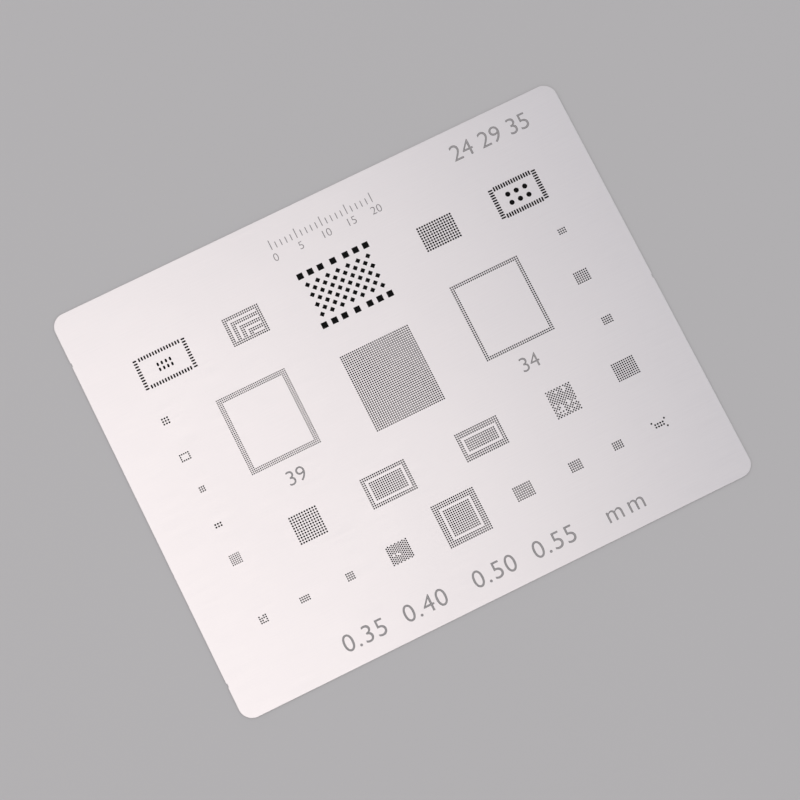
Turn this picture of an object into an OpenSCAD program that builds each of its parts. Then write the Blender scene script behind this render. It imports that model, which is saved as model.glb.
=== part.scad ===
// Reballing stencil: one thin stainless steel sheet with aperture fields for many chip packages.
// Lengths are in millimetres. The sheet lies flat on z = 0, centred on the z axis, with its long side
// along X and its marked edge towards +Y. A field is placed by its middle, seen from above.

/* [Sheet] */
// Length of the sheet along X
sheet_l = 100; // [94:1:130]
// Width of the sheet along Y
sheet_w = 80; // [76:1:110]
// Thickness of the foil
sheet_t = 0.12; // [0.08:0.01:0.3]
// Radius of the four corners
corner_r = 2.5; // [0.5:0.5:6]

/* [Tab notches] */
// Length of a notch where a holding tab was broken off
tab_l = 0.7; // [0.4:0.1:1.5]
// Depth of a tab notch
tab_d = 0.15; // [0.1:0.05:0.4]
// Distance of the upper left notch above the middle
tab_upper = 30.8; // [20:0.2:32]
// Distance of the lower left notch below the middle
tab_lower = 32.8; // [20:0.2:33]
// Distance of the right notch below the middle
tab_right = 0.5; // [0:0.5:20]

/* [Ball holes] */
// Pitch of the finest fields
fine_pitch = 0.35; // [0.3:0.01:0.4]
// Hole of the finest fields
fine_hole = 0.24; // [0.15:0.01:0.25]
// Pitch of the usual fields
usual_pitch = 0.4; // [0.35:0.01:0.5]
// Hole of the usual fields
usual_hole = 0.29; // [0.18:0.01:0.3]
// Pitch of the widest fields
wide_pitch = 0.5; // [0.45:0.01:0.6]
// Hole of the widest fields
wide_hole = 0.35; // [0.2:0.01:0.4]
// Hole of the wide grid in the top row
grid_hole = 0.38; // [0.25:0.01:0.42]
// Column spacing of the staggered field
stagger_pitch = 0.35; // [0.35:0.01:0.45]
// Sites from one cut hole to the next in the six processor fields (the real sheet has all)
processor_step = 3; // [3:1:6]
// Sites from one cut hole to the next in the plain fields of 36 to 140 sites (the real sheet has all)
dense_step = 2; // [1:1:3]

/* [Lead slots] */
// Width of a lead slot
slot_w = 0.31; // [0.2:0.01:0.32]
// Slot length of the left lead frame
left_slot_l = 0.76; // [0.5:0.02:1]
// Slot pitch of the left lead frame
left_slot_pitch = 0.55; // [0.5:0.01:0.58]
// Distance between the long slot rows of the left lead frame
left_row_gap = 5.37; // [5.2:0.01:6]
// Distance between the short slot rows of the left lead frame
left_end_gap = 9.45; // [9.3:0.05:10]
// Slot length of the right lead frame
right_slot_l = 0.9; // [0.5:0.05:1]
// Slot pitch of the right lead frame
right_slot_pitch = 0.5; // [0.45:0.01:0.52]
// Distance between the long slot rows of the right lead frame
right_row_gap = 5.46; // [5.3:0.02:6]
// Distance between the short slot rows of the right lead frame
right_end_gap = 8.6; // [8.5:0.05:9]
// Ground holes inside the right lead frame
ground_hole = 0.95; // [0.5:0.05:1.2]
// Pitch of the ground holes
ground_pitch = 1.7; // [1.4:0.1:1.8]
// Width of the ground slots inside the left lead frame
ground_slot_w = 0.39; // [0.25:0.02:0.5]
// Length of the ground slots inside the left lead frame
ground_slot_l = 0.7; // [0.55:0.05:0.8]
// Spacing of the ground slots along X
ground_slot_pitch_x = 0.8; // [0.7:0.05:1.2]
// Spacing of the ground slots along Y
ground_slot_pitch_y = 1; // [0.9:0.05:1.2]

/* [Solder pads] */
// Side of a square pad opening
pad_side = 1.15; // [0.6:0.05:1.4]
// Pitch of the square pads on each side of the middle one
pad_pitch = 2; // [1.6:0.1:2.2]
// Extra space beside the middle pad
pad_middle_gap = 0.5; // [0:0.1:1]
// Distance between the two rows of square pads
pad_row_gap = 9.96; // [9:0.02:11]
// Side of a diamond opening
diamond_side = 0.75; // [0.4:0.05:0.9]
// Spacing of the diamonds along X in one row, and twice the spacing of their rows
diamond_pitch = 2; // [1.8:0.1:2.2]

/* [Layout] */
// Distance of the top row's middle line from the marked edge
top_row = 16.35; // [14:0.05:20]
// Distance of the bottom row's middle line from the opposite edge
bottom_row = 14.9; // [13:0.1:18]
// Distance of the side fields' outer holes from the sheet's ends
side_margin = 10.15; // [8:0.05:12]
// Middle line of the processor row above the sheet's middle
processor_row = 6.15; // [5:0.05:7]
// Middle line of the memory row below the sheet's middle
memory_row = 13.4; // [12.6:0.1:14]
// Middle of the two outer processor fields from the sheet's middle
processor_x = 23.15; // [22:0.05:25]

/* [Hidden] */
round_fn = 24;
top_y = sheet_w / 2 - top_row;
bottom_y = bottom_row - sheet_w / 2;
side_x = sheet_l / 2 - side_margin;

// Middles of the fields along X in the top, processor, memory and bottom rows
left_frame_x = -35;
nested_x = -19.1;
wide_grid_x = 19.35;
right_frame_x = 35.3;
wide_square_x = -25;
left_core_x = -9.1;
right_core_x = 9.25;
turned_x = 25.35;
bottom_x = [-31.2, -22.35, 11.7, 21.95, 30.3];
staggered_x = -12.7;
square_core_x = -0.25;

// Middles of the side fields along Y, from the top, and the two that stand further in
left_y = [14.3, 6.95, 0.4, -6.65];
right_y = [14.1, 5.05, -4];
left_inset = [0.6, 0.25];

// How far a field's middle lies below or above the middle line of its row
pads_drop = 1.25;
full_drop = 2.7;
wide_square_drop = 0.25;
turned_drop = 0.3;
square_core_rise = 0.65;

// Sites without a hole, as [column, row] counted from the top left of the field
camera_gaps = [[1, 0], [2, 2]];
staggered_gaps = [[2, 4], [4, 4], [5, 5]];
turned_gaps = [
  [5, 1], [3, 2], [6, 2], [5, 3],
  [1, 10], [5, 10], [2, 11], [5, 11],
  [3, 12], [5, 12], [7, 12], [8, 12], [2, 13],
  [1, 14], [2, 14], [3, 14], [6, 15],
  [2, 16], [3, 16], [5, 16]
];

// Counts sites from both ends of a line, so that a thinned field stays even
function on_step(i, count, step) = min(i, count - 1 - i) % step == 0;

function listed(i, j, sites) = len([for (s = sites) if (s == [i, j]) s]) > 0;

// Negative in an outer frame of the given bands, 0 on the line just inside it, positive in its core
function inset(i, j, columns, rows, band_x, band_y) =
  min(i - band_x, columns - 1 - band_x - i, j - band_y, rows - 1 - band_y - j);

module ball_hole(d) {
  circle(d = d, $fn = round_fn);
}

// Square lattice of holes, from which keep() picks the sites that are cut
module field(columns, rows, pitch, d, step = 1, keep = function(i, j) true) {
  for (i = [0 : columns - 1], j = [0 : rows - 1])
    if (on_step(i, columns, step) && on_step(j, rows, step) && keep(i, j))
      translate([(i - (columns - 1) / 2) * pitch, ((rows - 1) / 2 - j) * pitch])
        ball_hole(d);
}

// Frame of holes with an open middle
module ring_field(columns, rows, pitch, d, band, step = 1) {
  field(columns, rows, pitch, d, step,
    function(i, j) inset(i, j, columns, rows, band, band) < 0);
}

// Frame of holes, one empty line inside it, and a filled core
module core_field(columns, rows, pitch, d, band_x, band_y, step = 1) {
  field(columns, rows, pitch, d, step,
    function(i, j) inset(i, j, columns, rows, band_x, band_y) != 0);
}

// Frame two holes deep round angled lines of holes that nest into the lower right corner
module nested_field(columns, rows, pitch, d, band = 2, line = 3) {
  field(columns, rows, pitch, d, 1,
    function(i, j) inset(i, j, columns, rows, band, band) < 0 || min(i - band, j - band) % line != 0);
}

// Square lattice turned by 45 degrees: rows of holes that alternate by one hole
module turned_field(columns, rows, pitch, d, gaps) {
  half = pitch * sqrt(0.5);
  for (j = [0 : rows - 1], i = [0 : columns - 1 - j % 2])
    if (!listed(i, j, gaps))
      translate([(2 * i + j % 2 - columns + 1) * half, ((rows - 1) / 2 - j) * half])
        ball_hole(d);
}

// Columns of holes, every second one shifted up by half a pitch
module staggered_field(columns, rows, column_pitch, pitch, d, gaps) {
  for (i = [0 : columns - 1], j = [0 : rows - 1])
    if (!listed(i, j, gaps))
      translate([(i - (columns - 1) / 2) * column_pitch, ((rows - 1.5) / 2 - j + i % 2 / 2) * pitch])
        ball_hole(d);
}

// Round-ended slot along X
module slot(length, width) {
  straight = length - width;
  square([straight, width], center = true);
  for (x = [-straight / 2, straight / 2])
    translate([x, 0])
      ball_hole(width);
}

// Lead slots on four sides: count_x in each long row and count_y in each short one
module lead_frame(count_x, count_y, pitch, length, row_gap, end_gap) {
  for (i = [0 : count_x - 1], y = [-row_gap / 2, row_gap / 2])
    translate([(i - (count_x - 1) / 2) * pitch, y])
      rotate(90)
        slot(length, slot_w);
  for (j = [0 : count_y - 1], x = [-end_gap / 2, end_gap / 2])
    translate([x, (j - (count_y - 1) / 2) * pitch])
      slot(length, slot_w);
}

module left_lead_frame() {
  lead_frame(count_x = 15, count_y = 11, pitch = left_slot_pitch, length = left_slot_l,
    row_gap = left_row_gap, end_gap = left_end_gap);
  for (i = [-1.5 : 1.5], j = [-0.5, 0.5])
    translate([i * ground_slot_pitch_x, j * ground_slot_pitch_y])
      rotate(90)
        slot(ground_slot_l, ground_slot_w);
}

module right_lead_frame() {
  lead_frame(count_x = 15, count_y = 12, pitch = right_slot_pitch, length = right_slot_l,
    row_gap = right_row_gap, end_gap = right_end_gap);
  field(columns = 3, rows = 2, pitch = ground_pitch, d = ground_hole);
}

// Two rows of square pads with diamonds in seven staggered rows between them
module pad_field() {
  pads = [for (side = [-1, 1], k = [1 : 3]) side * (k * pad_pitch + pad_middle_gap)];
  for (x = concat([0], pads), y = [-pad_row_gap / 2, pad_row_gap / 2])
    translate([x, y])
      square(pad_side, center = true);
  for (j = [0 : 6], i = [0 : 6 - j % 2])
    translate([(i - 3 + j % 2 / 2) * diamond_pitch, (3 - j) * diamond_pitch / 2])
      rotate(45)
        square(diamond_side, center = true);
}

// Small package with a corner hole on each side of a two-row block
module sensor_field(pitch, d) {
  field(6, 4, pitch, d, 1,
    function(i, j) (i > 0 && i < 5 && (j == 1 || j == 2)) || (j == 0 && i % 5 == 0) || (j == 3 && i == 5));
}

// Puts a field's middle so far in from the left end that its outer holes keep the side margin
module left_column(columns, pitch, y, shift = 0) {
  translate([-side_x + (columns - 1) / 2 * pitch + shift, y])
    children();
}

module right_column(columns, pitch, y) {
  translate([side_x - (columns - 1) / 2 * pitch, y])
    children();
}

module top_row_fields() {
  translate([left_frame_x, top_y])
    left_lead_frame();
  translate([nested_x, top_y])
    nested_field(columns = 18, rows = 14, pitch = usual_pitch, d = usual_hole);
  translate([0, top_y - pads_drop])
    pad_field();
  translate([wide_grid_x, top_y])
    field(columns = 14, rows = 10, pitch = wide_pitch, d = grid_hole, step = dense_step);
  translate([right_frame_x, top_y])
    right_lead_frame();
}

module left_fields() {
  left_column(columns = 3, pitch = wide_pitch, y = left_y[0])
    field(columns = 3, rows = 3, pitch = wide_pitch, d = wide_hole);
  left_column(columns = 5, pitch = usual_pitch, y = left_y[1])
    ring_field(columns = 5, rows = 4, pitch = usual_pitch, d = usual_hole, band = 1);
  left_column(columns = 3, pitch = usual_pitch, y = left_y[2], shift = left_inset[0])
    field(columns = 3, rows = 3, pitch = usual_pitch, d = usual_hole);
  left_column(columns = 3, pitch = wide_pitch, y = left_y[3], shift = left_inset[1])
    field(columns = 3, rows = 2, pitch = wide_pitch, d = wide_hole);
  left_column(columns = 6, pitch = fine_pitch, y = -memory_row)
    field(columns = 6, rows = 6, pitch = fine_pitch, d = fine_hole, step = dense_step);
  left_column(columns = 4, pitch = usual_pitch, y = bottom_y)
    field(columns = 4, rows = 4, pitch = usual_pitch, d = usual_hole,
      keep = function(i, j) !listed(i, j, camera_gaps));
}

module right_fields() {
  right_column(columns = 4, pitch = usual_pitch, y = right_y[0])
    field(columns = 4, rows = 3, pitch = usual_pitch, d = usual_hole);
  right_column(columns = 7, pitch = usual_pitch, y = right_y[1])
    field(columns = 7, rows = 6, pitch = usual_pitch, d = usual_hole, step = dense_step);
  right_column(columns = 5, pitch = usual_pitch, y = right_y[2])
    field(columns = 5, rows = 4, pitch = usual_pitch, d = usual_hole);
  right_column(columns = 11, pitch = usual_pitch, y = -memory_row)
    field(columns = 11, rows = 9, pitch = usual_pitch, d = usual_hole, step = dense_step);
  right_column(columns = 6, pitch = wide_pitch, y = bottom_y)
    sensor_field(wide_pitch, wide_hole);
}

module processor_fields() {
  translate([-processor_x, processor_row])
    ring_field(columns = 39, rows = 43, pitch = fine_pitch, d = fine_hole, band = 3, step = processor_step);
  translate([processor_x, processor_row])
    ring_field(columns = 34, rows = 38, pitch = usual_pitch, d = usual_hole, band = 2, step = processor_step);
  translate([0, processor_row - full_drop])
    field(columns = 34, rows = 38, pitch = usual_pitch, d = usual_hole, step = processor_step);
  translate([left_core_x, -memory_row])
    core_field(columns = 22, rows = 15, pitch = usual_pitch, d = usual_hole,
      band_x = 2, band_y = 2, step = processor_step);
  translate([right_core_x, -memory_row])
    core_field(columns = 21, rows = 14, pitch = usual_pitch, d = usual_hole,
      band_x = 2, band_y = 3, step = processor_step);
  translate([square_core_x, bottom_y + square_core_rise])
    core_field(columns = 21, rows = 21, pitch = usual_pitch, d = usual_hole,
      band_x = 3, band_y = 3, step = processor_step);
}

module memory_fields() {
  translate([wide_square_x, -memory_row - wide_square_drop])
    field(columns = 11, rows = 11, pitch = wide_pitch, d = wide_hole, step = dense_step);
  translate([turned_x, -memory_row - turned_drop])
    turned_field(columns = 9, rows = 19, pitch = usual_pitch, d = usual_hole, gaps = turned_gaps);
}

module bottom_row_fields() {
  translate([bottom_x[0], bottom_y])
    field(columns = 5, rows = 3, pitch = usual_pitch, d = usual_hole);
  translate([bottom_x[1], bottom_y])
    field(columns = 4, rows = 4, pitch = usual_pitch, d = usual_hole);
  translate([staggered_x, bottom_y])
    staggered_field(columns = 12, rows = 9, column_pitch = stagger_pitch, pitch = usual_pitch, d = usual_hole,
      gaps = staggered_gaps);
  translate([bottom_x[2], bottom_y])
    field(columns = 9, rows = 7, pitch = usual_pitch, d = usual_hole, step = dense_step);
  translate([bottom_x[3], bottom_y])
    field(columns = 6, rows = 5, pitch = usual_pitch, d = usual_hole);
  translate([bottom_x[4], bottom_y])
    field(columns = 5, rows = 4, pitch = usual_pitch, d = usual_hole);
}

// Sheet blank: a rectangle with round corners, less the three tab notches
module blank() {
  difference() {
    union() {
      square([sheet_l - 2 * corner_r, sheet_w], center = true);
      square([sheet_l, sheet_w - 2 * corner_r], center = true);
      for (x = [-1, 1], y = [-1, 1])
        translate([x * (sheet_l / 2 - corner_r), y * (sheet_w / 2 - corner_r)])
          circle(r = corner_r, $fn = round_fn * 2);
    }
    for (place = [[-1, tab_upper], [-1, -tab_lower], [1, -tab_right]])
      translate([place[0] * sheet_l / 2, place[1]])
        square([2 * tab_d, tab_l], center = true);
  }
}

module stencil_sheet() {
  color("gainsboro")
    linear_extrude(sheet_t)
      difference() {
        blank();
        top_row_fields();
        left_fields();
        right_fields();
        processor_fields();
        memory_fields();
        bottom_row_fields();
      }
}

stencil_sheet();
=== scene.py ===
import math

import bmesh
import bpy
from mathutils import Matrix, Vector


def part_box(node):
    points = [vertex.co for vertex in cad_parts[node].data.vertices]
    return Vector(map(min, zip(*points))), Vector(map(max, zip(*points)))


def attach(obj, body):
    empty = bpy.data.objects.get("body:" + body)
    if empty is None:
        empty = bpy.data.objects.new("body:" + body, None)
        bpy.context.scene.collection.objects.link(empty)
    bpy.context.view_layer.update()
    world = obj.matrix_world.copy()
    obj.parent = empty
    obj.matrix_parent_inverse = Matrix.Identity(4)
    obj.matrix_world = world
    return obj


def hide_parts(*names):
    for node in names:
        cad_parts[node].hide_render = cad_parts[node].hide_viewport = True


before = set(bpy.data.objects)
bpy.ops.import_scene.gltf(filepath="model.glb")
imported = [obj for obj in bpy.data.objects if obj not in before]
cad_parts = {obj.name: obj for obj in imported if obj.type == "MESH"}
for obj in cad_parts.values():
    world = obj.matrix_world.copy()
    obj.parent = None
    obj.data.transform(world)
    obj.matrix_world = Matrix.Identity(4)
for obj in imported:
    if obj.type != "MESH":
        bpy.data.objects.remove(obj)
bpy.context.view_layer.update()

# The blank of the foil: one sheet of rolled stainless steel, cut out of a larger sheet by laser. It has round
# corners, and three small notches on its short ends where its holding tabs were broken off.
# Lengths are in millimetres, with the middle of the foil at zero, and MM turns them into metres.
MM = 0.001
foil_length, foil_width, foil_thickness = [(high - low) / MM for low, high in zip(*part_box("stencil_sheet"))]
CORNER_RADIUS, CORNER_STEPS = 2.5, 12
TAB_LENGTH, TAB_DEPTH = 0.7, 0.15
TAB_RIGHT, TAB_UPPER_LEFT, TAB_LOWER_LEFT = -0.5, 30.8, -32.8


def corner(x, y, start):
    for step in range(CORNER_STEPS + 1):
        angle = math.radians(start + 90 * step / CORNER_STEPS)
        yield x + CORNER_RADIUS * math.cos(angle), y + CORNER_RADIUS * math.sin(angle)


def notch(x, y, side):
    for depth, climb in ((0, -1), (TAB_DEPTH, -1), (TAB_DEPTH, 1), (0, 1)):
        yield x - side * depth, y + side * climb * TAB_LENGTH / 2


end_x, end_y = foil_length / 2, foil_width / 2
arc_x, arc_y = end_x - CORNER_RADIUS, end_y - CORNER_RADIUS
outline = [*corner(arc_x, -arc_y, -90), *notch(end_x, TAB_RIGHT, 1), *corner(arc_x, arc_y, 0),
           *corner(-arc_x, arc_y, 90), *notch(-end_x, TAB_UPPER_LEFT, -1),
           *notch(-end_x, TAB_LOWER_LEFT, -1), *corner(-arc_x, -arc_y, 180)]

# The apertures: some 4200 of them in thirty fields, one for each chip package, cut by laser right through.
# Most are round holes, and a ball gives their pitch and width. Lead frames have slots, and one field pads.
# A window is the place of a field in the plain foil. Patches fill it, each together with its own apertures.
FINE, USUAL, WIDE, GRID = (0.35, 0.24), (0.4, 0.29), (0.5, 0.35), (0.5, 0.38)
ROUND, LEFT_SLOT, RIGHT_SLOT, GROUND_SLOT, PAD, DIAMOND, GROUND_HOLE = range(7)
TOP_MARGIN, BOTTOM_MARGIN, SIDE_MARGIN = 16.35, 14.9, 10.15
PROCESSOR_ROW, MEMORY_ROW = 6.15, -13.4
PATCH_SITES, PATCH_MARGIN = 10, 0.6
top_row, bottom_row, side_column = end_y - TOP_MARGIN, BOTTOM_MARGIN - end_y, end_x - SIDE_MARGIN
windows, patches, apertures = [], [], []


def window(xs, ys):
    windows.append([(x, ys[0]) for x in xs[:-1]] + [(xs[-1], y) for y in ys[:-1]]
                   + [(x, ys[-1]) for x in xs[:0:-1]] + [(xs[0], y) for y in ys[:0:-1]])


def patch(left, bottom, right, top):
    patches.append([(left, bottom), (right, bottom), (right, top), (left, top)])
    return len(patches)


def lone_patch(x, y, half_x, half_y):
    window((x - half_x, x + half_x), (y - half_y, y + half_y))
    return patch(x - half_x, y - half_y, x + half_x, y + half_y)


def cut(number, x, y, shape, scale=1.0, turn=0.0):
    apertures.append((number, x, y, shape, scale, math.radians(turn)))


def every_site(i, j):
    return True


def field(x, y, columns, rows, ball, keep=every_site):
    pitch, hole = ball
    left, top = x - columns * pitch / 2, y + rows * pitch / 2
    breaks_i = [*range(0, columns, PATCH_SITES), columns]
    breaks_j = [*range(0, rows, PATCH_SITES), rows]
    xs, ys = [left + i * pitch for i in breaks_i], [top - j * pitch for j in breaks_j]
    window(xs, ys)
    for a in range(len(xs) - 1):
        for b in range(len(ys) - 1):
            number = patch(xs[a], ys[b + 1], xs[a + 1], ys[b])
            for i in range(breaks_i[a], breaks_i[a + 1]):
                for j in range(breaks_j[b], breaks_j[b + 1]):
                    if keep(i, j):
                        cut(number, left + (i + 0.5) * pitch, top - (j + 0.5) * pitch, ROUND, hole * MM)


def inset(i, j, columns, rows, band_x, band_y):
    return min(i - band_x, columns - 1 - band_x - i, j - band_y, rows - 1 - band_y - j)


def ring_field(x, y, columns, rows, ball, band):
    field(x, y, columns, rows, ball, lambda i, j: inset(i, j, columns, rows, band, band) < 0)


def core_field(x, y, columns, rows, ball, band_x, band_y):
    field(x, y, columns, rows, ball, lambda i, j: inset(i, j, columns, rows, band_x, band_y) != 0)


def lead_frame(x, y, count_x, count_y, pitch, row_gap, end_gap, shape):
    number = lone_patch(x, y, end_gap / 2 + PATCH_MARGIN, row_gap / 2 + PATCH_MARGIN)
    for side in (-1, 1):
        for i in range(count_x):
            cut(number, x + (i - (count_x - 1) / 2) * pitch, y + side * row_gap / 2, shape, turn=90)
        for j in range(count_y):
            cut(number, x + side * end_gap / 2, y + (j - (count_y - 1) / 2) * pitch, shape)
    return number


# Top row, from the left: a lead frame with ground slots, a field of nested angles, the pad field with its
# diamonds, a wide grid, and a lead frame with round ground holes.
LEFT_FRAME_X, RIGHT_FRAME_X = -35, 35.3
GROUND_SLOT_PITCH_X, GROUND_SLOT_PITCH_Y = 0.8, 1.0
GROUND_PITCH, GROUND_HOLE_SIZE = 1.7, 0.95
NESTED_COLUMNS, NESTED_ROWS, NESTED_BAND, NESTED_LINE = 18, 14, 2, 3
PADS_DROP, PADS_HALF_X, PADS_HALF_Y = 1.25, 7.7, 6.2
PAD_PLACES, PAD_ROW_GAP = (-6.5, -4.5, -2.5, 0, 2.5, 4.5, 6.5), 9.96
DIAMOND_PITCH, DIAMOND_ROWS = 2.0, 7
number = lead_frame(LEFT_FRAME_X, top_row, count_x=15, count_y=11, pitch=0.55, row_gap=5.37, end_gap=9.45,
                    shape=LEFT_SLOT)
for i in (-1.5, -0.5, 0.5, 1.5):
    for j in (-0.5, 0.5):
        cut(number, LEFT_FRAME_X + i * GROUND_SLOT_PITCH_X, top_row + j * GROUND_SLOT_PITCH_Y,
            GROUND_SLOT, turn=90)
number = lead_frame(RIGHT_FRAME_X, top_row, count_x=15, count_y=12, pitch=0.5, row_gap=5.46, end_gap=8.6,
                    shape=RIGHT_SLOT)
for i in (-1, 0, 1):
    for j in (-0.5, 0.5):
        cut(number, RIGHT_FRAME_X + i * GROUND_PITCH, top_row + j * GROUND_PITCH,
            GROUND_HOLE, GROUND_HOLE_SIZE * MM)


def on_angle(i, j):
    in_frame = inset(i, j, NESTED_COLUMNS, NESTED_ROWS, NESTED_BAND, NESTED_BAND) < 0
    return in_frame or (min(i, j) - NESTED_BAND) % NESTED_LINE != 0


field(x=-19.1, y=top_row, columns=NESTED_COLUMNS, rows=NESTED_ROWS, ball=USUAL, keep=on_angle)
field(x=19.35, y=top_row, columns=14, rows=10, ball=GRID)
pads_y = top_row - PADS_DROP
number = lone_patch(0, pads_y, PADS_HALF_X, PADS_HALF_Y)
for x in PAD_PLACES:
    for side in (-1, 1):
        cut(number, x, pads_y + side * PAD_ROW_GAP / 2, PAD)
middle = (DIAMOND_ROWS - 1) / 2
for j in range(DIAMOND_ROWS):
    for i in range(DIAMOND_ROWS - j % 2):
        cut(number, (i - middle + j % 2 / 2) * DIAMOND_PITCH, pads_y + (middle - j) * DIAMOND_PITCH / 2,
            DIAMOND, turn=45)

# Side columns: small packages whose outer holes stand in line along each end of the foil, two on the left a
# little further in. The lowest on the left has two sites without a hole. The lowest on the right has three
# corner holes round a block of two rows.
LEFT, RIGHT = -1, 1
LOWEST_LEFT_GAPS = {(1, 0), (2, 2)}


def side_field(side, y, columns, rows, ball, keep=every_site, further_in=0.0):
    field(side * (side_column - (columns - 1) / 2 * ball[0] - further_in), y, columns, rows, ball, keep)


def block_and_corners(i, j):
    return (0 < i < 5 and j in (1, 2)) or (i, j) in ((0, 0), (5, 0), (5, 3))


side_field(LEFT, y=14.3, columns=3, rows=3, ball=WIDE)
side_field(LEFT, y=6.95, columns=5, rows=4, ball=USUAL, keep=lambda i, j: inset(i, j, 5, 4, 1, 1) < 0)
side_field(LEFT, y=0.4, columns=3, rows=3, ball=USUAL, further_in=0.6)
side_field(LEFT, y=-6.65, columns=3, rows=2, ball=WIDE, further_in=0.25)
side_field(LEFT, MEMORY_ROW, columns=6, rows=6, ball=FINE)
side_field(LEFT, bottom_row, columns=4, rows=4, ball=USUAL, keep=lambda i, j: (i, j) not in LOWEST_LEFT_GAPS)
side_field(RIGHT, y=14.1, columns=4, rows=3, ball=USUAL)
side_field(RIGHT, y=5.05, columns=7, rows=6, ball=USUAL)
side_field(RIGHT, y=-4, columns=5, rows=4, ball=USUAL)
side_field(RIGHT, MEMORY_ROW, columns=11, rows=9, ball=USUAL)
side_field(RIGHT, bottom_row, columns=6, rows=4, ball=WIDE, keep=block_and_corners)

# Middle of the foil: two hollow processor rings, one full grid, three grids with an empty line round their
# core, and two memory fields, one of them on a lattice that is turned by 45 degrees.
PROCESSOR_X, FULL_GRID_DROP = 23.15, 2.7
SQUARE_CORE_RISE, WIDE_SQUARE_DROP = 0.65, 0.25
TURNED_X, TURNED_DROP = 25.35, 0.3
TURNED_COLUMNS, TURNED_ROWS = 9, 19
TURNED_GAPS = {(5, 1), (3, 2), (6, 2), (5, 3), (1, 10), (5, 10), (2, 11), (5, 11), (3, 12), (5, 12),
               (7, 12), (8, 12), (2, 13), (1, 14), (2, 14), (3, 14), (6, 15), (2, 16), (3, 16), (5, 16)}
ring_field(-PROCESSOR_X, PROCESSOR_ROW, columns=39, rows=43, ball=FINE, band=3)
ring_field(PROCESSOR_X, PROCESSOR_ROW, columns=34, rows=38, ball=USUAL, band=2)
field(0, PROCESSOR_ROW - FULL_GRID_DROP, columns=34, rows=38, ball=USUAL)
core_field(x=-9.1, y=MEMORY_ROW, columns=22, rows=15, ball=USUAL, band_x=2, band_y=2)
core_field(x=9.25, y=MEMORY_ROW, columns=21, rows=14, ball=USUAL, band_x=2, band_y=3)
core_field(x=-0.25, y=bottom_row + SQUARE_CORE_RISE, columns=21, rows=21, ball=USUAL, band_x=3, band_y=3)
field(x=-25, y=MEMORY_ROW - WIDE_SQUARE_DROP, columns=11, rows=11, ball=WIDE)
turned_y, diagonal = MEMORY_ROW - TURNED_DROP, USUAL[0] * math.sqrt(0.5)
number = lone_patch(TURNED_X, turned_y, (TURNED_COLUMNS + 1) * diagonal, (TURNED_ROWS + 1) / 2 * diagonal)
for j in range(TURNED_ROWS):
    for i in range(TURNED_COLUMNS - j % 2):
        if (i, j) not in TURNED_GAPS:
            cut(number, TURNED_X + (2 * i + j % 2 - TURNED_COLUMNS + 1) * diagonal,
                turned_y + ((TURNED_ROWS - 1) / 2 - j) * diagonal, ROUND, USUAL[1] * MM)

# Bottom row: five small grids, and one field in which every second column stands half a pitch higher. That
# field has three sites without a hole.
STAGGERED_X, STAGGERED_HALF = -12.7, 2.2
STAGGERED_COLUMNS, STAGGERED_ROWS = 12, 9
STAGGERED_GAPS = {(2, 4), (4, 4), (5, 5)}
for x, columns, rows in ((-31.2, 5, 3), (-22.35, 4, 4), (11.7, 9, 7), (21.95, 6, 5), (30.3, 5, 4)):
    field(x, bottom_row, columns, rows, USUAL)
number = lone_patch(STAGGERED_X, bottom_row, STAGGERED_HALF, STAGGERED_HALF)
for i in range(STAGGERED_COLUMNS):
    for j in range(STAGGERED_ROWS):
        if (i, j) not in STAGGERED_GAPS:
            cut(number, STAGGERED_X + (i - (STAGGERED_COLUMNS - 1) / 2) * FINE[0],
                bottom_row + ((STAGGERED_ROWS - 1.5) / 2 - j + i % 2 / 2) * USUAL[0], ROUND, USUAL[1] * MM)

# The steel's finish: satin from the rolls, with fine streaks along the foil and broad lighter and darker
# clouds, both counted per metre. The laser leaves darker walls with a fine uneven grain. add() puts a node
# into a tree, and each of its feeds is a value, or the socket or sockets that drive that input.
GRAIN_DEPTH, CLOUDS = 0.004, 22


def feed(tree, node, feeds):
    for name, value in feeds.items():
        if isinstance(value, bpy.types.NodeSocket):
            tree.links.new(value, node.inputs[name])
        elif isinstance(value, list):
            for source in value:
                tree.links.new(source, node.inputs[name])
        else:
            node.inputs[name].default_value = value


def add(tree, kind, feeds=None, **settings):
    made = tree.nodes.new(kind)
    for name, value in settings.items():
        setattr(made, name, value)
    feed(tree, made, feeds or {})
    return made.outputs


def socket(tree, name, kind, in_out="INPUT"):
    return tree.interface.new_socket(name, in_out=in_out, socket_type="NodeSocket" + kind).identifier


rolled_finish = bpy.data.node_groups.new("rolled_finish", "ShaderNodeTree")
for name in ("Grains Along", "Grains Across", "Clouds"):
    socket(rolled_finish, name, "Float")
for name in ("Grain", "Cloud"):
    socket(rolled_finish, name, "Float", "OUTPUT")
given = add(rolled_finish, "NodeGroupInput")
place = add(rolled_finish, "ShaderNodeTexCoord")["Object"]
stretch = add(rolled_finish, "ShaderNodeCombineXYZ",
              {"X": given["Grains Along"], "Y": given["Grains Across"], "Z": given["Grains Along"]})
stretched = add(rolled_finish, "ShaderNodeVectorMath", {0: place, 1: stretch["Vector"]}, operation="MULTIPLY")
grain = add(rolled_finish, "ShaderNodeTexNoise", {"Vector": stretched["Vector"], "Scale": 1, "Detail": 3})
cloud = add(rolled_finish, "ShaderNodeTexNoise", {"Vector": place, "Scale": given["Clouds"], "Detail": 2})
add(rolled_finish, "NodeGroupOutput", {"Grain": grain["Fac"], "Cloud": cloud["Fac"]})


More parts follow.
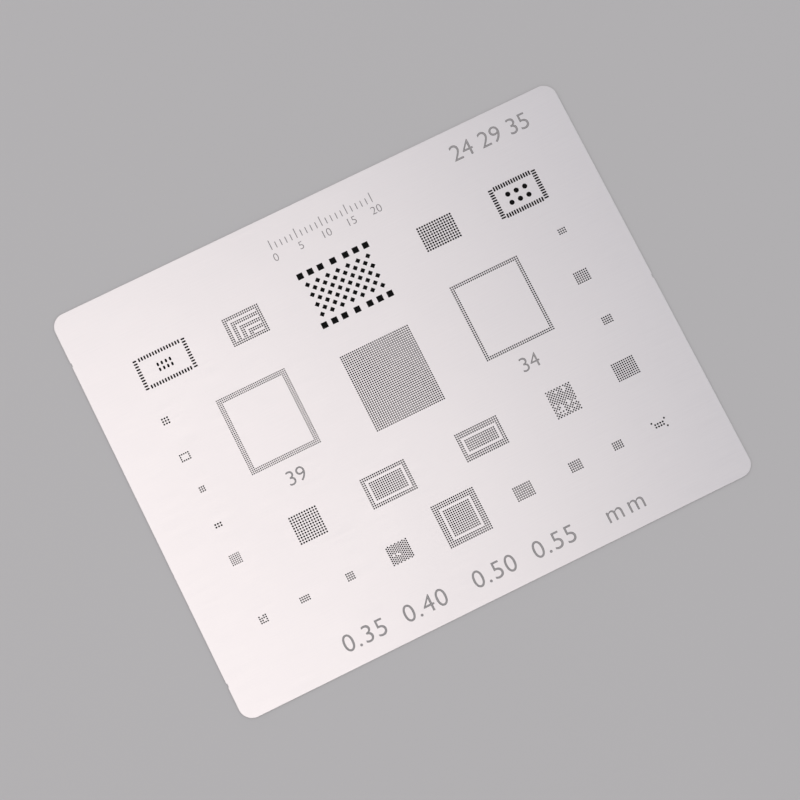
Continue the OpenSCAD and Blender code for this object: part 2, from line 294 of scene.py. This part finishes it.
def finished(name, dark, light, streaks, smooth, rough, bump, grains_along, grains_across):
    made = bpy.data.materials.new(name)
    made.use_nodes = True
    tree = made.node_tree
    finish = add(tree, "ShaderNodeGroup", {"Grains Along": grains_along, "Grains Across": grains_across,
                                           "Clouds": CLOUDS}, node_tree=rolled_finish)
    tint = add(tree, "ShaderNodeMix", {"Factor": streaks, "A": finish["Cloud"], "B": finish["Grain"]})
    colour = add(tree, "ShaderNodeMix", {"Factor": tint["Result"], "A": (*dark, 1), "B": (*light, 1)},
                 data_type="RGBA")
    roughness = add(tree, "ShaderNodeMapRange", {"Value": finish["Grain"], "To Min": smooth, "To Max": rough})
    relief = add(tree, "ShaderNodeBump",
                 {"Height": finish["Grain"], "Strength": bump, "Distance": GRAIN_DEPTH * MM})
    feed(tree, tree.nodes["Principled BSDF"],
         {"Base Color": colour["Result"], "Roughness": roughness["Result"], "Normal": relief["Normal"]})
    return made


satin_foil = finished("satin_foil", dark=(0.703, 0.700, 0.713), light=(0.812, 0.810, 0.815), streaks=0.5,
                      smooth=0.25, rough=0.41, bump=0.35, grains_along=120, grains_across=6000)
laser_cut_wall = finished("laser_cut_wall", dark=(0.14, 0.13, 0.125), light=(0.24, 0.225, 0.215), streaks=0.6,
                          smooth=0.45, rough=0.6, bump=0.3, grains_along=9000, grains_across=9000)
for metal in (satin_foil, laser_cut_wall):
    feed(metal.node_tree, metal.node_tree.nodes["Principled BSDF"], {"Metallic": 1})

# The foil with its apertures, all cut in one go. The tree sets an outline on each aperture's site, fills each
# patch less its apertures and the foil less its windows, and raises the whole to the foil's thickness. The
# upper and lower faces keep the satin of the rolls, and the walls get the laser's finish.
ROUND_SIDES, GROUND_SIDES, SLOT_ARC_STEPS = 10, 24, 4
SLOT_END = 0.49
WELD = 0.0002
STEEPEST_FACE = 0.5
raised_plate = bpy.data.node_groups.new("raised_plate", "GeometryNodeTree")
socket(raised_plate, "Loops", "Geometry")
socket(raised_plate, "Thickness", "Float")
socket(raised_plate, "Plate", "Geometry", "OUTPUT")
given = add(raised_plate, "NodeGroupInput")
patch_here = add(raised_plate, "GeometryNodeInputNamedAttribute", {"Name": "patch"}, data_type="INT")
filled = add(raised_plate, "GeometryNodeFillCurve",
             {"Curve": given["Loops"], "Group ID": patch_here["Attribute"]}, mode="TRIANGLES")["Mesh"]
flat = add(raised_plate, "GeometryNodeMergeByDistance",
           {"Geometry": filled, "Distance": WELD * MM})["Geometry"]
raised = add(raised_plate, "GeometryNodeExtrudeMesh",
             {"Mesh": flat, "Offset": (0, 0, 1), "Offset Scale": given["Thickness"], "Individual": False},
             mode="FACES")["Mesh"]
underside = add(raised_plate, "GeometryNodeFlipFaces", {"Mesh": flat})["Mesh"]
both = add(raised_plate, "GeometryNodeJoinGeometry", {"Geometry": [raised, underside]})["Geometry"]
closed = add(raised_plate, "GeometryNodeMergeByDistance",
             {"Geometry": both, "Distance": WELD * MM})["Geometry"]
add(raised_plate, "NodeGroupOutput", {"Plate": closed})

perforated_foil = bpy.data.node_groups.new("perforated_foil", "GeometryNodeTree")
socket(perforated_foil, "Sites", "Geometry")
foil_values = {}
for name, length in (("Thickness", foil_thickness), ("Slot Width", 0.31), ("Left Slot Length", 0.76),
                     ("Right Slot Length", 0.9), ("Ground Slot Width", 0.39), ("Ground Slot Length", 0.7),
                     ("Pad Side", 1.15), ("Diamond Side", 0.75)):
    foil_values[socket(perforated_foil, name, "Float")] = length * MM
for name, sides in (("Round Sides", ROUND_SIDES), ("Ground Sides", GROUND_SIDES)):
    foil_values[socket(perforated_foil, name, "Int")] = sides
socket(perforated_foil, "Foil", "Geometry", "OUTPUT")
given = add(perforated_foil, "NodeGroupInput")


def site_value(name, kind):
    return add(perforated_foil, "GeometryNodeInputNamedAttribute", {"Name": name},
               data_type=kind)["Attribute"]


def round_loop(sides, count):
    # The polygon has the area of a circle that is one unit across
    radius = 0.5 * math.sqrt(math.tau / (count * math.sin(math.tau / count)))
    return add(perforated_foil, "GeometryNodeCurvePrimitiveCircle",
               {"Radius": radius, "Resolution": given[sides]}, mode="RADIUS")["Curve"]


def box_loop(length, width):
    return add(perforated_foil, "GeometryNodeCurvePrimitiveQuadrilateral",
               {"Width": given[length], "Height": given[width]}, mode="RECTANGLE")["Curve"]


def slot_loop(length, width):
    radius = add(perforated_foil, "ShaderNodeMath", {0: given[width], 1: SLOT_END}, operation="MULTIPLY")
    return add(perforated_foil, "GeometryNodeFilletCurve",
               {"Curve": box_loop(length, width), "Radius": radius["Value"], "Count": SLOT_ARC_STEPS},
               mode="POLY")["Curve"]


turned = add(perforated_foil, "ShaderNodeCombineXYZ", {"Z": site_value("turn", "FLOAT")})["Vector"]
shape_here, scale_here = site_value("shape", "INT"), site_value("scale", "FLOAT")
loops = [add(perforated_foil, "GeometryNodeMeshToCurve", {"Mesh": given["Sites"]})["Curve"]]
for shape, loop in ((ROUND, round_loop("Round Sides", ROUND_SIDES)),
                    (GROUND_HOLE, round_loop("Ground Sides", GROUND_SIDES)),
                    (LEFT_SLOT, slot_loop("Left Slot Length", "Slot Width")),
                    (RIGHT_SLOT, slot_loop("Right Slot Length", "Slot Width")),
                    (GROUND_SLOT, slot_loop("Ground Slot Length", "Ground Slot Width")),
                    (PAD, box_loop("Pad Side", "Pad Side")),
                    (DIAMOND, box_loop("Diamond Side", "Diamond Side"))):
    chosen = add(perforated_foil, "FunctionNodeCompare", {"A": shape_here, "B": shape},
                 data_type="INT", operation="EQUAL")["Result"]
    placed = add(perforated_foil, "GeometryNodeInstanceOnPoints",
                 {"Points": given["Sites"], "Selection": chosen, "Instance": loop, "Rotation": turned,
                  "Scale": scale_here})
    loops.append(placed["Instances"])
joined = add(perforated_foil, "GeometryNodeJoinGeometry", {"Geometry": loops})["Geometry"]
real_loops = add(perforated_foil, "GeometryNodeRealizeInstances", {"Geometry": joined})["Geometry"]
plate = add(perforated_foil, "GeometryNodeGroup",
            {"Loops": real_loops, "Thickness": given["Thickness"]}, node_tree=raised_plate)["Plate"]
whole = add(perforated_foil, "GeometryNodeRealizeInstances", {"Geometry": plate})["Geometry"]
rolled = add(perforated_foil, "GeometryNodeSetMaterial",
             {"Geometry": whole, "Material": satin_foil})["Geometry"]
facing = add(perforated_foil, "GeometryNodeInputNormal")["Normal"]
upwards = add(perforated_foil, "ShaderNodeSeparateXYZ", {"Vector": facing})["Z"]
flatness = add(perforated_foil, "ShaderNodeMath", {0: upwards}, operation="ABSOLUTE")["Value"]
is_wall = add(perforated_foil, "FunctionNodeCompare", {"A": flatness, "B": STEEPEST_FACE},
              data_type="FLOAT", operation="LESS_THAN")["Result"]
walled = add(perforated_foil, "GeometryNodeSetMaterial",
             {"Geometry": rolled, "Selection": is_wall, "Material": laser_cut_wall})["Geometry"]
add(perforated_foil, "NodeGroupOutput", {"Foil": walled})

NO_APERTURE = -1
points, edges, site_values = [], [], {"shape": [], "scale": [], "turn": [], "patch": []}


def site(number, x, y, shape=NO_APERTURE, scale=1.0, turn=0.0):
    points.append((x * MM, y * MM, 0))
    for name, value in (("shape", shape), ("scale", scale), ("turn", turn), ("patch", number)):
        site_values[name].append(value)


for number, loop in [(0, outline)] + [(0, loop) for loop in windows] + list(enumerate(patches, 1)):
    first = len(points)
    edges += [(first + k, first + (k + 1) % len(loop)) for k in range(len(loop))]
    for x, y in loop:
        site(number, x, y)
for aperture in apertures:
    site(*aperture)
foil_sites = bpy.data.meshes.new("foil_sites")
foil_sites.from_pydata(points, edges, [])
for name, kind in (("shape", "INT"), ("scale", "FLOAT"), ("turn", "FLOAT"), ("patch", "INT")):
    foil_sites.attributes.new(name, kind, "POINT").data.foreach_set("value", site_values[name])


def made_by(tree, base, values):
    carrier = bpy.data.objects.new(base.name, base)
    bpy.context.scene.collection.objects.link(carrier)
    modifier = carrier.modifiers.new(tree.name, "NODES")
    modifier.node_group = tree
    for identifier, value in values.items():
        modifier[identifier] = value
    bpy.context.view_layer.update()
    made = bpy.data.meshes.new_from_object(carrier.evaluated_get(bpy.context.evaluated_depsgraph_get()))
    carrier.modifiers.remove(modifier)
    bpy.data.objects.remove(carrier)
    # The tree leaves an empty first slot before the materials that it sets
    made.materials.pop(index=0)
    return made


def piece(name, mesh):
    mesh.name = name
    made = bpy.data.objects.new(name, mesh)
    bpy.context.scene.collection.objects.link(made)
    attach(made, "root")
    return made


foil_mesh = made_by(perforated_foil, foil_sites, foil_values)
for name in site_values:
    if name in foil_mesh.attributes:
        foil_mesh.attributes.remove(foil_mesh.attributes[name])
perforated_sheet = piece("perforated_sheet", foil_mesh)
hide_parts("stencil_sheet")

# The marks: plain numbers burnt into the upper face by a laser at low power, which leaves a dull film of
# oxide with hardly any height. The laser draws each outline dark and hatches the inside of a wide stroke
# lighter. The numbers give the hole sizes, two column counts and the pitches.
FILM_SUNK, OUTLINE_TOP, HATCH_TOP = 0.003, 0.003, 0.0035
OUTLINE_THINNED, HATCH_THINNED, HATCHED_FROM = 0.03, 0.12, 2.0
CAPITAL_SHARE, MARK_CURVE_STEPS, MARK_WALL = 0.7, 6, 1
TOP_LINE_MARGIN, BOTTOM_LINE_MARGIN, RING_LINE_DROP = 4.65, 4.35, 11.1
laser_outline = finished("laser_outline", dark=(0.17, 0.166, 0.166), light=(0.27, 0.263, 0.263), streaks=1.0,
                         smooth=0.6, rough=0.85, bump=0.2, grains_along=60, grains_across=9000)
laser_hatch = finished("laser_hatch", dark=(0.33, 0.323, 0.323), light=(0.48, 0.471, 0.471), streaks=1.0,
                       smooth=0.5, rough=0.75, bump=0.4, grains_along=7000, grains_across=300)
for film in (laser_outline, laser_hatch):
    feed(film.node_tree, film.node_tree.nodes["Principled BSDF"],
         {"Metallic": 0.3, "Specular IOR Level": 0.3})
burnt_film = bpy.data.node_groups.new("burnt_film", "GeometryNodeTree")
socket(burnt_film, "Digits", "Geometry")
film_inputs = {name: socket(burnt_film, name, kind)
               for name, kind in (("Bottom", "Float"), ("Thickness", "Float"), ("Film", "Material"))}
socket(burnt_film, "Mark", "Geometry", "OUTPUT")
given = add(burnt_film, "NodeGroupInput")
edge_height = add(burnt_film, "ShaderNodeSeparateXYZ",
                  {"Vector": add(burnt_film, "GeometryNodeInputPosition")["Position"]})["Z"]
is_upper = add(burnt_film, "FunctionNodeCompare", {"A": edge_height, "B": MARK_WALL * MM / 2},
               data_type="FLOAT", operation="GREATER_THAN")["Result"]
loops = add(burnt_film, "GeometryNodeMeshToCurve", {"Mesh": given["Digits"], "Selection": is_upper})["Curve"]
plate = add(burnt_film, "GeometryNodeGroup", {"Loops": loops, "Thickness": given["Thickness"]},
            node_tree=raised_plate)["Plate"]
lift = add(burnt_film, "ShaderNodeCombineXYZ", {"Z": given["Bottom"]})["Vector"]
lifted = add(burnt_film, "GeometryNodeTransform", {"Geometry": plate, "Translation": lift})["Geometry"]
whole = add(burnt_film, "GeometryNodeRealizeInstances", {"Geometry": lifted})["Geometry"]
coated = add(burnt_film, "GeometryNodeSetMaterial",
             {"Geometry": whole, "Material": given["Film"]})["Geometry"]
add(burnt_film, "NodeGroupOutput", {"Mark": coated})
marks = []


def burn(words, x, y, height, spread, thinned, bottom, top, film):
    lettering = bpy.data.curves.new("number_mark", "FONT")
    lettering.body = words
    lettering.align_x, lettering.align_y = "CENTER", "CENTER"
    lettering.size = height / CAPITAL_SHARE
    lettering.space_character = spread
    lettering.offset = -thinned
    lettering.resolution_u = MARK_CURVE_STEPS
    lettering.fill_mode = "NONE"
    lettering.extrude = MARK_WALL
    drawn = bpy.data.objects.new("number_mark", lettering)
    bpy.context.scene.collection.objects.link(drawn)
    bpy.context.view_layer.update()
    digits = bpy.data.meshes.new_from_object(drawn.evaluated_get(bpy.context.evaluated_depsgraph_get()))
    digits.transform(Matrix.Scale(MM, 4) @ Matrix.Translation((x, y, 0)))
    bpy.data.objects.remove(drawn)
    bpy.data.curves.remove(lettering)
    marks.append((film, made_by(burnt_film, digits, {film_inputs["Bottom"]: (foil_thickness + bottom) * MM,
                                                     film_inputs["Thickness"]: (top - bottom) * MM,
                                                     film_inputs["Film"]: film})))


def number_mark(words, x, y, height, spread=1.0):
    burn(words, x, y, height, spread, OUTLINE_THINNED, -FILM_SUNK, OUTLINE_TOP, laser_outline)
    if height > HATCHED_FROM:
        burn(words, x, y, height, spread, HATCH_THINNED, OUTLINE_TOP, HATCH_TOP, laser_hatch)


top_line, bottom_line = end_y - TOP_LINE_MARGIN, BOTTOM_LINE_MARGIN - end_y
ring_line = PROCESSOR_ROW - RING_LINE_DROP
number_mark("24 29 35", x=35.5, y=top_line, height=3.1)
number_mark("39", x=-23, y=ring_line, height=2.7)
number_mark("34", x=23.1, y=ring_line, height=2.7)
number_mark("0.35  0.40", x=-18.8, y=bottom_line, height=3.2, spread=1.1)
number_mark("0.50  0.55", x=6.5, y=bottom_line, height=3.2, spread=1.1)
number_mark("mm", x=26.3, y=bottom_line, height=3.2, spread=1.3)

# The scale: a ruler of twenty millimetres along the upper edge, burnt by the same laser. It has a tick for
# every millimetre, and a longer one with its number at every fifth. All marks together are one piece.
TICKS, TICK_SPACING, TICKS_PER_NUMBER = 21, 1.0, 5
TICK_WIDTH, TICK_LENGTH, TICK_LONGER_BY = 0.14, 1.2, 0.7
SCALE_X, SCALE_MARGIN = -8.8, 6
SCALE_NUMBER_DROP, SCALE_NUMBER_HEIGHT = 1.6, 1.5
HALF_CUBE, HALF_COUNT = 0.5, 0.5
scale_y = end_y - SCALE_MARGIN
for k in range(0, TICKS, TICKS_PER_NUMBER):
    number_mark(str(k), SCALE_X + k * TICK_SPACING, scale_y - SCALE_NUMBER_DROP, SCALE_NUMBER_HEIGHT)
scale_ticks = bpy.data.node_groups.new("scale_ticks", "GeometryNodeTree")
socket(scale_ticks, "Base", "Geometry")
tick_values = {}
for name, count in (("Count", TICKS), ("Ticks per Number", TICKS_PER_NUMBER)):
    tick_values[socket(scale_ticks, name, "Int")] = count
for name, length in (("Start X", SCALE_X), ("Start Y", scale_y), ("Spacing", TICK_SPACING),
                     ("Width", TICK_WIDTH), ("Length", TICK_LENGTH),
                     ("Longer By", TICK_LONGER_BY), ("Bottom", foil_thickness - FILM_SUNK),
                     ("Thickness", FILM_SUNK + OUTLINE_TOP)):
    tick_values[socket(scale_ticks, name, "Float")] = length * MM
socket(scale_ticks, "Ticks", "Geometry", "OUTPUT")
given = add(scale_ticks, "NodeGroupInput")
step = add(scale_ticks, "ShaderNodeCombineXYZ", {"X": given["Spacing"]})["Vector"]
start = add(scale_ticks, "ShaderNodeCombineXYZ",
            {"X": given["Start X"], "Y": given["Start Y"], "Z": given["Bottom"]})["Vector"]
line = add(scale_ticks, "GeometryNodeMeshLine",
           {"Count": given["Count"], "Start Location": start, "Offset": step})["Mesh"]
index = add(scale_ticks, "GeometryNodeInputIndex")["Index"]
past_number = add(scale_ticks, "ShaderNodeMath", {0: index, 1: given["Ticks per Number"]},
                  operation="MODULO")["Value"]
is_long = add(scale_ticks, "ShaderNodeMath", {0: past_number, 1: HALF_COUNT}, operation="LESS_THAN")["Value"]
tick_length = add(scale_ticks, "ShaderNodeMath", {0: is_long, 1: given["Longer By"], 2: given["Length"]},
                  operation="MULTIPLY_ADD")["Value"]
tick_size = add(scale_ticks, "ShaderNodeCombineXYZ",
                {"X": given["Width"], "Y": tick_length, "Z": given["Thickness"]})["Vector"]
bar = add(scale_ticks, "GeometryNodeMeshCube")["Mesh"]
bar_upwards = add(scale_ticks, "GeometryNodeTransform",
                  {"Geometry": bar, "Translation": (0, HALF_CUBE, HALF_CUBE)})["Geometry"]
bars = add(scale_ticks, "GeometryNodeInstanceOnPoints",
           {"Points": line, "Instance": bar_upwards, "Scale": tick_size})["Instances"]
real_bars = add(scale_ticks, "GeometryNodeRealizeInstances", {"Geometry": bars})["Geometry"]
marked = add(scale_ticks, "GeometryNodeSetMaterial",
             {"Geometry": real_bars, "Material": laser_outline})["Geometry"]
add(scale_ticks, "NodeGroupOutput", {"Ticks": marked})
marks.append((laser_outline, made_by(scale_ticks, bpy.data.meshes.new("scale_base"), tick_values)))
films = [laser_outline, laser_hatch]
all_marks = bmesh.new()
for film, made in marks:
    first = len(all_marks.faces)
    all_marks.from_mesh(made)
    all_marks.faces.ensure_lookup_table()
    for face in all_marks.faces[first:]:
        face.material_index = films.index(film)
bmesh.ops.triangulate(all_marks, faces=all_marks.faces)
mark_mesh = bpy.data.meshes.new("laser_marks")
all_marks.to_mesh(mark_mesh)
all_marks.free()
for film in films:
    mark_mesh.materials.append(film)
piece("laser_marks", mark_mesh)

# The stage: a plain pale floor, a hair below the foil. Under the foil, up to a little in from its edges, it
# has a painted shade, near black, so that the apertures read as the dark holes that they are.
FLOOR_HALF, FLOOR_DROP, PAINTED_SHADE_INSET = 900, 0.02, 1.2
# The pale floor's own colour, and the near-black painted shade under the foil
FLOOR_COLOUR, PAINTED_SHADE_COLOUR = (0.55, 0.55, 0.55, 1), (0.006, 0.006, 0.006, 1)
floor_mesh = bpy.data.meshes.new("floor")
floor_mesh.from_pydata([(x * FLOOR_HALF * MM, y * FLOOR_HALF * MM, -FLOOR_DROP * MM)
                        for x, y in ((-1, -1), (1, -1), (1, 1), (-1, 1))], [], [(0, 1, 2, 3)])
floor = bpy.data.objects.new("floor", floor_mesh)
bpy.context.scene.collection.objects.link(floor)
pale_floor = bpy.data.materials.new("pale_floor")
pale_floor.use_nodes = True
tree = pale_floor.node_tree
place = add(tree, "ShaderNodeSeparateXYZ", {"Vector": add(tree, "ShaderNodeTexCoord")["Object"]})
inside = []
for axis, end in (("X", end_x), ("Y", end_y)):
    from_middle = add(tree, "ShaderNodeMath", {0: place[axis]}, operation="ABSOLUTE")["Value"]
    inside += [add(tree, "ShaderNodeMath", {0: from_middle, 1: (end - PAINTED_SHADE_INSET) * MM},
                   operation="LESS_THAN")["Value"]]
# Mask of the painted shade: the floor under the foil, a little in from its edges
painted_shade_mask = add(tree, "ShaderNodeMath", {0: inside[0], 1: inside[1]}, operation="MULTIPLY")["Value"]
painted_shade = add(tree, "ShaderNodeMix", {"Factor": painted_shade_mask, "A": FLOOR_COLOUR, "B": PAINTED_SHADE_COLOUR},
            data_type="RGBA")
feed(tree, tree.nodes["Principled BSDF"],
     {"Base Color": painted_shade["Result"], "Roughness": 0.9, "Specular IOR Level": 0.1})
floor_mesh.materials.append(pale_floor)

# Soft studio light: a pale room that is dimmer overhead than at its walls, and one broad lamp overhead on the
# left, whose warm reflection fades across the foil.
WALL_LIGHT, CEILING_LIGHT, CEILING_FROM = (1.0, 1.0, 1.0, 1), (0.484, 0.489, 0.53, 1), 0.93
LAMP_SIDE, LAMP_PLACE = 0.8, (-0.235, 0.03, 0.9)
LAMP_WATTS, LAMP_COLOUR = 2.06, (1.0, 0.875, 0.81)
scene = bpy.context.scene
scene.view_settings.view_transform = "Standard"
scene.world = bpy.data.worlds.new("room")
scene.world.use_nodes = True
tree = scene.world.node_tree
way = add(tree, "ShaderNodeSeparateXYZ", {"Vector": add(tree, "ShaderNodeTexCoord")["Generated"]})
height = add(tree, "ShaderNodeMapRange", {"Value": way["Z"], "From Max": CEILING_FROM},
             interpolation_type="SMOOTHSTEP")
glow = add(tree, "ShaderNodeMix", {"Factor": height["Result"], "A": WALL_LIGHT, "B": CEILING_LIGHT},
           data_type="RGBA")
feed(tree, tree.nodes["Background"], {"Color": glow["Result"]})
lamp = bpy.data.lights.new("softbox", "AREA")
lamp.size = LAMP_SIDE
lamp.energy = LAMP_WATTS
lamp.color = LAMP_COLOUR
softbox = bpy.data.objects.new("softbox", lamp)
softbox.location = LAMP_PLACE
softbox.rotation_euler = (-softbox.location).to_track_quat("-Z", "Y").to_euler()
scene.collection.objects.link(softbox)

# The camera stands where the photograph was taken from: 0.54 m away, 12 degrees off the upright, with the
# foil turned by 26 degrees in the picture. Its turn is in degrees.
CAMERA_PLACE, CAMERA_TURN = (-0.05186, -0.09932, 0.53231), (11.794, -0.221, -26.430)
SENSOR_WIDTH, FOCAL_LENGTH = 36, 138.15
NEAREST, FURTHEST = 0.01, 10
lens = bpy.data.cameras.new("camera")
lens.sensor_width, lens.lens = SENSOR_WIDTH, FOCAL_LENGTH
lens.clip_start, lens.clip_end = NEAREST, FURTHEST
camera = bpy.data.objects.new("camera", lens)
camera.location = CAMERA_PLACE
camera.rotation_euler = [math.radians(angle) for angle in CAMERA_TURN]
scene.collection.objects.link(camera)
scene.camera = camera
